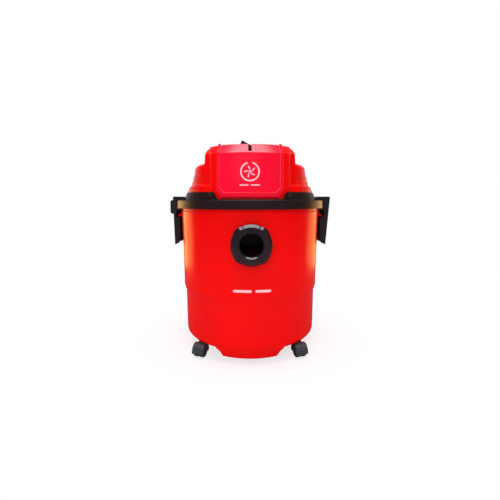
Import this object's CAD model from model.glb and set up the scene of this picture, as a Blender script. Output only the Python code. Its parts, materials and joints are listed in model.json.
import json
from math import atan2, cos, pi, radians, sin, sqrt

import bmesh
import bpy
from mathutils import Matrix, Vector, noise


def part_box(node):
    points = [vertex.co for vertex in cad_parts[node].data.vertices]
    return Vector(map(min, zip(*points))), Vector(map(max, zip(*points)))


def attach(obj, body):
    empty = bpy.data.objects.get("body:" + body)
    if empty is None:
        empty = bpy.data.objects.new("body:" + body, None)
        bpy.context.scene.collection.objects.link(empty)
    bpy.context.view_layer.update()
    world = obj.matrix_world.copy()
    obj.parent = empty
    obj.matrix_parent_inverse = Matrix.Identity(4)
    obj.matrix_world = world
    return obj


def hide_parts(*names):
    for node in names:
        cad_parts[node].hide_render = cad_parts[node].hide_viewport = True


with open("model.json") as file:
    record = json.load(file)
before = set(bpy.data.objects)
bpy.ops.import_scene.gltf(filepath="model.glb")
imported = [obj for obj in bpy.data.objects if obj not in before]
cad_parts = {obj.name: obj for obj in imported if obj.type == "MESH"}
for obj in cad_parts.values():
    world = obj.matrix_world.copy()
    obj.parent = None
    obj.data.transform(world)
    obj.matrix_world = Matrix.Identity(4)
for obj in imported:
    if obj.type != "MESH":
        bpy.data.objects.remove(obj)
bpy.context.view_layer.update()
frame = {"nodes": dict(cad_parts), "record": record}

# Looks of the shop vacuum. Metres, +Z up, the hose inlet faces -Y.

MM = 0.001

scene = bpy.context.scene
nodes = frame["nodes"]
record = frame["record"]

# Carrying grip: half length of the ribbed middle, and how far the ribs fade out.
GRIP_RIBBED_HALF = 44 * MM
GRIP_FADE = 4 * MM
RIB_PITCH = 4 * MM
FINGER_PITCH = 22 * MM

# Foam sleeve: the radius of its hole, clear of the float cage.
FOAM_INNER_R = 40.5 * MM
FOAM_SLACK = 1.3 * MM
SEAM_TURN = 1.5

# Printed bars: heights, and the walls that they follow.
TANK_BAR_Z = 0.1345
TANK_R_AT_BARS = 0.13767
TANK_LEAN = 0.0293
PANEL_BAR_Z = 0.3175
PANEL_LEAN = -0.018

# Creases under the rim: degrees from the front and height in mm, from the latch outwards.
CREASE_PATH = [
    (78, 271.6), (70, 271.2), (62, 270.5), (54, 269.8),
    (47, 268.8), (42, 267.0), (38, 264.4), (35, 261.4),
]
RIM_WALL_R = 143.5
RIM_WALL_Z = 272
WALL_SLOPE = 4.5 / 92

# Rocker: the tilt of the marks at rest, and the slope of each wing.
ROCKER_TILT = radians(12.5)
WING_SLOPE = atan2(5.4, 19.4)
WING_X = 11.5 * MM
WING_Z = 7.40 * MM

# Surroundings: light on the object, and what glossy faces reflect.
ROOM_LIGHT = 0.37
ROOM_REFLECTED = 0.04
BACKDROP = 0.9
FLOOR_REFLECTED = (0.16, 0.12, 0.15)
WARM = (1.0, 0.52, 0.16)


# ---------------------------------------------------------------- node helpers

class Tree:
    """Short hand for building one material's nodes."""

    def __init__(self, name):
        self.material = bpy.data.materials.new(name)
        self.material.use_nodes = True
        self.nt = self.material.node_tree
        self.nt.nodes.clear()
        self.out = self.node("ShaderNodeOutputMaterial")
        self.place = self.node("ShaderNodeTexCoord").outputs["Object"]

    def node(self, kind, **settings):
        made = self.nt.nodes.new(kind)
        for key, value in settings.items():
            setattr(made, key, value)
        return made

    def join(self, source, target):
        self.nt.links.new(source, target)

    def stretched(self, scale):
        """Object coordinates times a scale for each axis."""
        mapping = self.node("ShaderNodeMapping")
        mapping.inputs["Scale"].default_value = scale
        self.join(self.place, mapping.inputs["Vector"])
        return mapping.outputs["Vector"]

    def noise(self, scale, detail=3.0, rough=0.5, at=None):
        made = self.node("ShaderNodeTexNoise")
        made.inputs["Scale"].default_value = scale
        made.inputs["Detail"].default_value = detail
        made.inputs["Roughness"].default_value = rough
        self.join(at or self.place, made.inputs["Vector"])
        return made.outputs["Fac"]

    def cells(self, scale):
        made = self.node("ShaderNodeTexVoronoi")
        made.inputs["Scale"].default_value = scale
        self.join(self.place, made.inputs["Vector"])
        return made.outputs["Distance"]

    def remap(self, value, low, high, to_low, to_high):
        made = self.node("ShaderNodeMapRange")
        for key, number in (("From Min", low), ("From Max", high), ("To Min", to_low), ("To Max", to_high)):
            made.inputs[key].default_value = number
        self.join(value, made.inputs["Value"])
        return made.outputs["Result"]

    def maths(self, operation, a, b):
        made = self.node("ShaderNodeMath", operation=operation)
        for socket, value in zip(made.inputs, (a, b)):
            if isinstance(value, (int, float)):
                socket.default_value = value
            else:
                self.join(value, socket)
        return made.outputs["Value"]

    def blend(self, amount, colour_a, colour_b):
        made = self.node("ShaderNodeMix", data_type="RGBA")
        for key, value in (("Factor", amount), ("A", colour_a), ("B", colour_b)):
            index = {"Factor": 0, "A": 6, "B": 7}[key]
            if isinstance(value, tuple):
                made.inputs[index].default_value = (*value, 1)
            elif isinstance(value, float):
                made.inputs[index].default_value = value
            else:
                self.join(value, made.inputs[index])
        return made.outputs[2]

    def edges(self, width):
        """0 on open faces, rising to 1 on sharp edges."""
        rounded = self.node("ShaderNodeBevel", samples=4)
        rounded.inputs["Radius"].default_value = width
        flat = self.node("ShaderNodeNewGeometry").outputs["Normal"]
        dot = self.node("ShaderNodeVectorMath", operation="DOT_PRODUCT")
        self.join(rounded.outputs["Normal"], dot.inputs[0])
        self.join(flat, dot.inputs[1])
        return self.remap(dot.outputs["Value"], 0.99, 0.75, 0.0, 1.0)

    def bump(self, layers, edge_radius):
        """Normal from several heights, each with a depth in metres, over rounded edges."""
        rounded = self.node("ShaderNodeBevel", samples=4)
        rounded.inputs["Radius"].default_value = edge_radius
        normal = rounded.outputs["Normal"]
        for height, depth in layers:
            made = self.node("ShaderNodeBump")
            made.inputs["Distance"].default_value = depth
            made.inputs["Strength"].default_value = 1.0
            self.join(height, made.inputs["Height"])
            self.join(normal, made.inputs["Normal"])
            normal = made.outputs["Normal"]
        return normal

    def shader(self, colour, roughness, normal, **fixed):
        made = self.node("ShaderNodeBsdfPrincipled")
        self.join(colour, made.inputs["Base Color"])
        self.join(roughness, made.inputs["Roughness"])
        self.join(normal, made.inputs["Normal"])
        for key, value in fixed.items():
            made.inputs[key.replace("_", " ")].default_value = value
        self.join(made.outputs["BSDF"], self.out.inputs["Surface"])
        return self.material


# ---------------------------------------------------------------- materials

def moulded(name, colour, shade, rough, grain, scuffs, edge=0.8 * MM, worn=None, wear=0.5, **fixed):
    """Moulded plastic: slow colour drift, fine grain, handling marks and lighter edges."""
    t = Tree(name)
    drift = t.remap(t.noise(9, 4, 0.55), 0.35, 0.65, 0.0, 1.0)
    tint = t.blend(drift, colour, shade)
    worn = worn or tuple(min(1.0, c * 1.25 + 0.02) for c in colour)
    rubbed = t.maths(
        "MULTIPLY", t.edges(1.1 * MM), t.remap(t.noise(70, 5, 0.7), 0.36, 0.62, 0.15 * wear, wear))
    tint = t.blend(rubbed, tint, worn)
    smears = t.remap(t.noise(34, 6, 0.7), 0.3, 0.7, -scuffs, scuffs)
    gloss = t.maths("ADD", t.maths("ADD", smears, rough), t.maths("MULTIPLY", rubbed, 0.18))
    normal = t.bump([
        (t.noise(110, 1, 0.3), 0.012 * MM),
        (t.noise(2600, 2, 0.6), grain),
    ], edge)
    return t.shader(tint, gloss, normal, **fixed)


def rubber(name, colour):
    t = Tree(name)
    dusty = t.remap(t.noise(40, 6, 0.7), 0.4, 0.75, 0.0, 0.5)
    tint = t.blend(dusty, colour, tuple(c * 1.8 + 0.02 for c in colour))
    gloss = t.remap(t.noise(120, 4, 0.6), 0.3, 0.7, 0.62, 0.85)
    normal = t.bump([(t.cells(1500), 0.05 * MM), (t.noise(300, 3, 0.5), 0.05 * MM)], 0.5 * MM)
    return t.shader(tint, gloss, normal, Specular_IOR_Level=0.35)


def metal(name, colour, stain, rough, brush, **fixed):
    """Metal with a brushed or cast grain and a patchy film."""
    t = Tree(name)
    film = t.remap(t.noise(45, 6, 0.65), 0.4, 0.7, 0.0, 0.6)
    tint = t.blend(film, colour, stain)
    lines = t.noise(900, 3, 0.6, t.stretched(brush))
    gloss = t.remap(lines, 0.3, 0.7, rough - 0.07, rough + 0.09)
    normal = t.bump([(lines, 0.012 * MM), (t.noise(500, 3, 0.6), 0.01 * MM)], 0.4 * MM)
    return t.shader(tint, gloss, normal, Metallic=1.0, **fixed)


def laminated(name):
    """Stack of thin steel sheets."""
    t = Tree(name)
    sheets = t.node("ShaderNodeTexWave", bands_direction="Z")
    sheets.inputs["Scale"].default_value = 320
    sheets.inputs["Distortion"].default_value = 0.3
    t.join(t.place, sheets.inputs["Vector"])
    rust = t.remap(t.noise(180, 6, 0.7), 0.55, 0.8, 0.0, 0.6)
    tint = t.blend(rust, (0.22, 0.23, 0.25), (0.13, 0.07, 0.04))
    gloss = t.remap(t.noise(300, 4, 0.6), 0.3, 0.7, 0.35, 0.55)
    return t.shader(tint, gloss, t.bump([(sheets.outputs["Fac"], 0.2 * MM)], 0.3 * MM), Metallic=0.9)


def wound(name):
    """Enamelled copper wire, laid turn on turn."""
    t = Tree(name)
    turns = t.node("ShaderNodeTexWave", bands_direction="Z", wave_profile="SIN")
    turns.inputs["Scale"].default_value = 420
    turns.inputs["Distortion"].default_value = 1.2
    turns.inputs["Detail"].default_value = 1.0
    t.join(t.place, turns.inputs["Vector"])
    tint = t.blend(turns.outputs["Fac"], (0.28, 0.08, 0.03), (0.78, 0.33, 0.14))
    gloss = t.remap(t.noise(200, 3, 0.5), 0.3, 0.7, 0.22, 0.4)
    normal = t.bump([(turns.outputs["Fac"], 0.35 * MM)], 0.3 * MM)
    return t.shader(tint, gloss, normal, Metallic=0.85, Coat_Weight=0.4)


def foam(name):
    """Open-cell filter foam."""
    t = Tree(name)
    pores = t.cells(620)
    hollow = t.remap(pores, 0.0, 0.55, 0.0, 1.0)
    soiled = t.remap(t.noise(30, 5, 0.6), 0.4, 0.7, 0.0, 0.5)
    tint = t.blend(hollow, (0.09, 0.09, 0.09), (0.42, 0.42, 0.40))
    tint = t.blend(soiled, tint, (0.25, 0.23, 0.20))
    gloss = t.remap(t.noise(200, 3, 0.5), 0.3, 0.7, 0.85, 1.0)
    return t.shader(tint, gloss, t.bump([(hollow, 0.9 * MM)], 0.4 * MM), Specular_IOR_Level=0.2)


def printed(name, colour):
    """Screen-printed ink with a slight pinhole texture."""
    t = Tree(name)
    pinholes = t.remap(t.noise(500, 4, 0.7), 0.35, 0.7, 0.0, 0.5)
    tint = t.blend(pinholes, colour, tuple(c * 0.86 for c in colour))
    gloss = t.remap(t.noise(90, 4, 0.6), 0.3, 0.7, 0.3, 0.45)
    return t.shader(tint, gloss, t.bump([(t.noise(2400, 2, 0.6), 0.012 * MM)], 0.1 * MM))


RED = (0.80, 0.0006, 0.0006)
RED_SHADE = (0.74, 0.0005, 0.0005)

MATERIALS = {
    "red_shell": moulded("red_shell", RED, RED_SHADE, 0.21, 0.006 * MM, 0.03, 1.2 * MM,
                          (0.98, 0.10, 0.06), 0.8, Specular_IOR_Level=0.14),
    "red_panel": moulded("red_panel", (0.84, 0.003, 0.030), (0.76, 0.002, 0.024), 0.20, 0.004 * MM,
                         0.04, 1.0 * MM, (0.98, 0.16, 0.19), 1.0, Specular_IOR_Level=0.3,
                         Coat_Weight=0.3, Coat_Roughness=0.12),
    "black_gloss": moulded("black_gloss", (0.018, 0.009, 0.010), (0.013, 0.007, 0.008), 0.24,
                           0.006 * MM, 0.04, 0.8 * MM, Specular_IOR_Level=0.3),
    "black_band": moulded("black_band", (0.018, 0.009, 0.010), (0.013, 0.007, 0.008), 0.36,
                          0.006 * MM, 0.04, 0.8 * MM, Specular_IOR_Level=0.26),
    "black_socket": moulded("black_socket", (0.015, 0.009, 0.010), (0.011, 0.007, 0.008), 0.17,
                            0.006 * MM, 0.03, 0.6 * MM, (0.10, 0.09, 0.10), 0.8,
                            Specular_IOR_Level=0.95),
    "black_matte": moulded("black_matte", (0.015, 0.013, 0.013), (0.011, 0.010, 0.010), 0.42,
                           0.03 * MM, 0.06),
    "castor_grey": moulded("castor_grey", (0.040, 0.046, 0.054), (0.031, 0.037, 0.045), 0.40,
                           0.02 * MM, 0.07),
    "rubber": rubber("rubber", (0.022, 0.022, 0.023)),
    "steel": metal("steel", (0.58, 0.58, 0.60), (0.42, 0.42, 0.43), 0.28, (1.0, 1.0, 0.08)),
    "aluminium": metal("aluminium", (0.74, 0.74, 0.75), (0.55, 0.55, 0.56), 0.45, (0.6, 0.6, 0.6)),
    "core_steel": laminated("core_steel"),
    "copper": wound("copper"),
    "brass": metal("brass", (0.78, 0.56, 0.24), (0.50, 0.32, 0.12), 0.3, (0.1, 1.0, 1.0)),
    "carbon": rubber("carbon", (0.03, 0.03, 0.032)),
    "white_plastic": moulded("white_plastic", (0.78, 0.78, 0.74), (0.70, 0.69, 0.64), 0.42,
                             0.015 * MM, 0.05),
    "filter_cloth": foam("filter_cloth"),
    "badge_white": printed("badge_white", (0.88, 0.50, 0.56)),
}

# Nodes whose gloss differs from that of the other nodes in their slot.
OWN_LOOK = {"head_base": "black_band", "inlet_socket": "black_socket"}


def finish_cad_nodes():
    """Every CAD node takes the material of its slot, except where it has a look of its own."""
    for part in record["subparts"]:
        mesh = nodes[part["node"]].data
        mesh.materials.clear()
        mesh.materials.append(MATERIALS[OWN_LOOK.get(part["node"], part["material_slot"])])


# ---------------------------------------------------------------- pieces

def piece(name, body, slot, verts, faces, replaced=None):
    """New mesh on a body, with the finish of one of the record's slots."""
    mesh = bpy.data.meshes.new(name)
    mesh.from_pydata(verts, [], faces)
    made = bmesh.new()
    made.from_mesh(mesh)
    bmesh.ops.recalc_face_normals(made, faces=made.faces)
    made.to_mesh(mesh)
    made.free()
    for face in mesh.polygons:
        face.use_smooth = True
    mesh.materials.append(MATERIALS[slot])
    obj = bpy.data.objects.new(name, mesh)
    scene.collection.objects.link(obj)
    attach(obj, body)
    if replaced:
        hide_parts(replaced)
    return obj


def grid_faces(rows, columns, start=0, closed_rows=False):
    """Quads between rows of points; each row is a closed loop."""
    faces = []
    for row in range(rows if closed_rows else rows - 1):
        after = (row + 1) % rows
        for column in range(columns):
            side = (column + 1) % columns
            faces.append((start + row * columns + column, start + row * columns + side,
                          start + after * columns + side, start + after * columns + column))
    return faces


def carrying_grip():
    """Grip with a ribbed middle and shallow finger hollows underneath."""
    low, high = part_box("carry_grip")
    middle_y, middle_z = (low[1] + high[1]) / 2, (low[2] + high[2]) / 2
    radius = (high[2] - low[2]) / 2
    rows, columns = 261, 48
    verts = []
    for row in range(rows):
        share = row / (rows - 1)
        x = low[0] + (high[0] - low[0]) * share
        inside = min(1.0, max(0.0, (GRIP_RIBBED_HALF - abs(x)) / GRIP_FADE))
        rib = 0.45 * MM * inside * (0.5 + 0.5 * cos(2 * pi * x / RIB_PITCH))
        hollow = 0.9 * MM * inside * (0.5 + 0.5 * cos(2 * pi * x / FINGER_PITCH))
        for column in range(columns):
            turn = 2 * pi * column / columns
            under = max(0.0, -sin(turn)) ** 2
            r = radius - rib - hollow * under
            verts.append((x, middle_y + 0.94 * r * cos(turn), middle_z + r * sin(turn)))
    faces = grid_faces(rows, columns)
    faces.append(tuple(range(columns)))
    faces.append(tuple((rows - 1) * columns + column for column in range(columns)))
    piece("ribbed_grip", "head", "black_matte", verts, faces, "carry_grip")


def foam_sleeve():
    """Open-cell foam sleeve, gathered under its retaining band and slack below."""
    low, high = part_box("filter_sleeve")
    outer, inner = high[0], FOAM_INNER_R
    band_low, band_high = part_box("filter_ring")
    pinch = (band_low[2] + band_high[2]) / 2
    rows, columns = 74, 168
    verts = []
    for skin in (0, 1):
        for row in range(rows):
            share = row / (rows - 1)
            z = low[2] + (high[2] - low[2]) * share
            z = low[2] + 0.6 * MM + (z - low[2]) * 0.985
            lip = min(1.0, share * 14, (1 - share) * 14)
            round_lip = sqrt(max(0.0, 1 - (1 - lip) ** 2))
            gather = max(0.0, 1 - abs(z - pinch) / (7 * MM))
            for column in range(columns):
                turn = 2 * pi * column / columns
                at = Vector((cos(turn), sin(turn), z / 0.04))
                soft = noise.noise(at * 2.2) * 0.55 * MM + noise.noise(at * 9.0) * 0.22 * MM
                off_seam = abs(atan2(sin(turn - SEAM_TURN), cos(turn - SEAM_TURN)))
                seam = 0.8 * MM * max(0.0, 1 - off_seam / 0.035)
                r = outer - FOAM_SLACK + soft - seam - 0.9 * MM * gather
                r = inner + (r - inner) * (0.55 + 0.45 * round_lip)
                if skin:
                    r = inner
                verts.append((r * cos(turn), r * sin(turn), z))
    size = rows * columns
    faces = grid_faces(rows, columns) + grid_faces(rows, columns, size)
    for column in range(columns):
        side = (column + 1) % columns
        faces.append((column, side, size + side, size + column))
        last = (rows - 1) * columns
        faces.append((last + column, last + side, size + last + side, size + last + column))
    sleeve = piece("foam_sleeve", "head", "filter_cloth", verts, faces, "filter_sleeve")


def printed_bar(name, body, x_range, z, height, radius, lean):
    """Plain printed bar with round ends that follows a round wall."""
    x0, x1 = x_range
    steps, across = 40, 4
    half = height / 2
    verts = []
    for proud in (0.22 * MM, -0.15 * MM):
        for step in range(steps + 1):
            x = x0 + (x1 - x0) * step / steps
            end = min(x - x0, x1 - x, half)
            tall = max(0.12 * half, sqrt(max(0.0, half ** 2 - (half - end) ** 2)))
            for row in range(across + 1):
                dz = tall * (2 * row / across - 1)
                r = radius + lean * dz + proud
                verts.append((x, -sqrt(r ** 2 - x ** 2), z + dz))
    width = across + 1
    size = (steps + 1) * width
    faces = []
    for step in range(steps):
        for row in range(across):
            a = step * width + row
            quad = (a, a + 1, a + width + 1, a + width)
            faces.append(quad)
            faces.append(tuple(size + v for v in quad))
        for row in (0, across):
            a = step * width + row
            faces.append((a, a + width, size + a + width, size + a))
    for step in (0, steps):
        for row in range(across):
            a = step * width + row
            faces.append((a, a + 1, size + a + 1, size + a))
    piece(name, body, "badge_white", verts, faces)


def printed_bars():
    """Plain bars on the tank and the front panel."""
    panel_r = -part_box("badge")[0][1] - 0.35 * MM
    for name, x_range in (("tank_bar_left", (-0.0295, 0.003)), ("tank_bar_right", (0.009, 0.037))):
        printed_bar(name, "tank_body", x_range, TANK_BAR_Z, 0.0046, TANK_R_AT_BARS, TANK_LEAN)
    for name, x_range in (("panel_bar_left", (-0.0185, -0.0025)), ("panel_bar_right", (0.0015, 0.0175))):
        printed_bar(name, "head", x_range, PANEL_BAR_Z, 0.0020, panel_r, PANEL_LEAN)


def shoulder_creases():
    """Moulded creases that run forwards and back from the latches and fade down the tank."""
    path = CREASE_PATH
    steps, across = 60, 8
    for side in (-1, 1):
        for end, label in ((-1, "front"), (1, "rear")):
            verts = []
            for step in range(steps + 1):
                share = step / steps
                at = share * (len(path) - 1)
                k = min(int(at), len(path) - 2)
                f = at - k
                f = f * f * (3 - 2 * f) if 0 < k < len(path) - 2 else f
                degrees = path[k][0] + (path[k + 1][0] - path[k][0]) * f
                z = path[k][1] + (path[k + 1][1] - path[k][1]) * f
                fade = sin(pi * min(1.0, share * 1.6 + 0.02)) if share > 0.3125 else 1.0
                fade = max(0.05, min(1.0, (1 - share) * 2.2, share * 8 + 0.1)) * max(0.6, fade)
                turn = radians(degrees)
                wall = RIM_WALL_R - max(0.0, RIM_WALL_Z - z) * WALL_SLOPE
                for column in range(across):
                    around = 2 * pi * column / across
                    dz = 1.2 * fade * cos(around)
                    r = (wall + 1.4 * fade * sin(around) - 0.1) * MM
                    verts.append((side * r * sin(turn), end * r * cos(turn), (z + dz) * MM))
            faces = grid_faces(steps + 1, across)
            faces.append(tuple(range(across)))
            faces.append(tuple(steps * across + column for column in range(across)))
            hand = "left" if side < 0 else "right"
            piece(f"crease_{label}_{hand}", "tank_body", "red_shell", verts, faces)


def rocker_marks():
    """Raised bar and ring on the rocker's two wings."""
    joint = next(j for j in record["behaviour"]["joints"] if j["name"] == "switch_rock")
    place = Matrix.Translation(joint["pos_m"]) @ Matrix.Rotation(ROCKER_TILT, 4, "Y")
    for name, side in (("rocker_bar", 1), ("rocker_ring", -1)):
        if side > 0:
            outline = [(dx * 0.7 * MM, dy * 3.0 * MM) for dx, dy in ((-1, -1), (1, -1), (1, 1), (-1, 1))]
            inline = [(x * 0.4, y * 0.85) for x, y in outline]
        else:
            turns = [2 * pi * k / 40 for k in range(40)]
            outline = [(3.0 * MM * cos(a), 3.0 * MM * sin(a)) for a in turns]
            inline = [(1.9 * MM * cos(a), 1.9 * MM * sin(a)) for a in turns]
        wing = place @ Matrix.Translation((side * WING_X, 0, WING_Z))
        wing = wing @ Matrix.Rotation(-side * WING_SLOPE, 4, "Y")
        loops = [(outline, -0.1 * MM), (outline, 0.25 * MM), (inline, 0.25 * MM), (inline, -0.1 * MM)]
        verts = [tuple(wing @ Vector((x, y, z))) for points, z in loops for x, y in points]
        piece(name, "switch_rocker", "badge_white", verts, grid_faces(4, len(outline), 0, True))


# ---------------------------------------------------------------- stage

def floor():
    """Pale floor that fades into the white surroundings."""
    bpy.ops.mesh.primitive_circle_add(vertices=96, radius=3.0, fill_type="NGON")
    plane = bpy.context.object
    plane.name = "floor"
    t = Tree("floor")
    length = t.node("ShaderNodeVectorMath", operation="LENGTH")
    t.join(t.place, length.inputs[0])
    away = t.remap(length.outputs["Value"], 0.12, 0.28, 0.70, 1.0)
    seen = t.maths("MULTIPLY", away, t.node("ShaderNodeLightPath").outputs["Is Camera Ray"])
    pale = t.node("ShaderNodeBsdfDiffuse")
    reflected = t.node("ShaderNodeLightPath").outputs["Is Glossy Ray"]
    t.join(t.blend(reflected, (0.90, 0.90, 0.91), FLOOR_REFLECTED), pale.inputs["Color"])
    glow = t.node("ShaderNodeEmission")
    glow.inputs["Strength"].default_value = 1.0
    mix = t.node("ShaderNodeMixShader")
    t.join(seen, mix.inputs["Fac"])
    t.join(pale.outputs["BSDF"], mix.inputs[1])
    t.join(glow.outputs["Emission"], mix.inputs[2])
    t.join(mix.outputs["Shader"], t.out.inputs["Surface"])
    plane.data.materials.append(t.material)


def softbox(name, at, aim, size, power, colour=(1, 1, 1), mirrored=True):
    data = bpy.data.lights.new(name, "AREA")
    data.shape = "RECTANGLE"
    data.size, data.size_y = size
    data.energy = power
    data.color = colour
    lamp = bpy.data.objects.new(name, data)
    lamp.location = at
    lamp.rotation_euler = (Vector(aim) - Vector(at)).to_track_quat("-Z", "Y").to_euler()
    lamp.visible_glossy = mirrored
    lamp.visible_camera = False
    scene.collection.objects.link(lamp)


def backdrop_glow(nt):
    """Reflected strength of the room: dark in front, bright backdrop behind."""
    way = nt.nodes.new("ShaderNodeTexCoord")
    parts = nt.nodes.new("ShaderNodeSeparateXYZ")
    ramp = nt.nodes.new("ShaderNodeMapRange")
    levels = (("From Min", 0.45), ("From Max", 0.95), ("To Min", ROOM_REFLECTED), ("To Max", BACKDROP))
    for key, number in levels:
        ramp.inputs[key].default_value = number
    nt.links.new(way.outputs["Generated"], parts.inputs["Vector"])
    nt.links.new(parts.outputs["Y"], ramp.inputs["Value"])
    return ramp.outputs["Result"]


def surroundings():
    """White room seen by the camera, softly lit, with a dark tent in the reflections."""
    world = bpy.data.worlds.new("room")
    scene.world = world
    world.cycles.sampling_method = "NONE"
    world.use_nodes = True
    nt = world.node_tree
    nt.nodes.clear()
    path = nt.nodes.new("ShaderNodeLightPath")
    shade = None
    for ray, colour, strength in (
        (None, (1.0, 0.99, 0.98), ROOM_LIGHT),
        ("Is Glossy Ray", (0.9, 0.9, 1.0), ROOM_REFLECTED),
        ("Is Camera Ray", (1.0, 1.0, 1.0), 1.0),
    ):
        back = nt.nodes.new("ShaderNodeBackground")
        back.inputs["Color"].default_value = (*colour, 1)
        back.inputs["Strength"].default_value = strength
        if ray == "Is Glossy Ray":
            nt.links.new(backdrop_glow(nt), back.inputs["Strength"])
        if ray is None:
            shade = back.outputs["Background"]
            continue
        mix = nt.nodes.new("ShaderNodeMixShader")
        nt.links.new(path.outputs[ray], mix.inputs["Fac"])
        nt.links.new(shade, mix.inputs[1])
        nt.links.new(back.outputs["Background"], mix.inputs[2])
        shade = mix.outputs["Shader"]
    out = nt.nodes.new("ShaderNodeOutputWorld")
    nt.links.new(shade, out.inputs["Surface"])


def lights():
    """Soft box above, one in front, and a warm strip low on each side."""
    middle = (0, 0, 0.2)
    softbox("top_box", (0.0, -0.25, 1.3), middle, (1.1, 1.1), 14.5, (0.97, 0.95, 1.0))
    softbox("front_box", (-0.15, -1.7, 1.0), middle, (1.4, 1.0), 16.5, mirrored=False)
    for name, side, power in (("left_strip", -1, 2.3), ("right_strip", 1, 2.1)):
        softbox(name, (side * 0.66, 0.38, 0.17), (0, 0, 0.17), (0.55, 0.34), power, WARM)


def camera():
    """Level camera in front, a little below the rim."""
    data = bpy.data.cameras.new("camera")
    data.sensor_width = 36.0
    data.lens = 22.82
    data.shift_y = -0.098
    cam = bpy.data.objects.new("camera", data)
    cam.location = (0.0, -0.682, 0.290)
    cam.rotation_euler = (radians(90), 0, 0)
    scene.collection.objects.link(cam)
    scene.camera = cam


# ---------------------------------------------------------------- make everything

camera()
surroundings()
lights()
floor()
finish_cad_nodes()
carrying_grip()
foam_sleeve()
printed_bars()
rocker_marks()
shoulder_creases()
scene.view_settings.view_transform = "Standard"
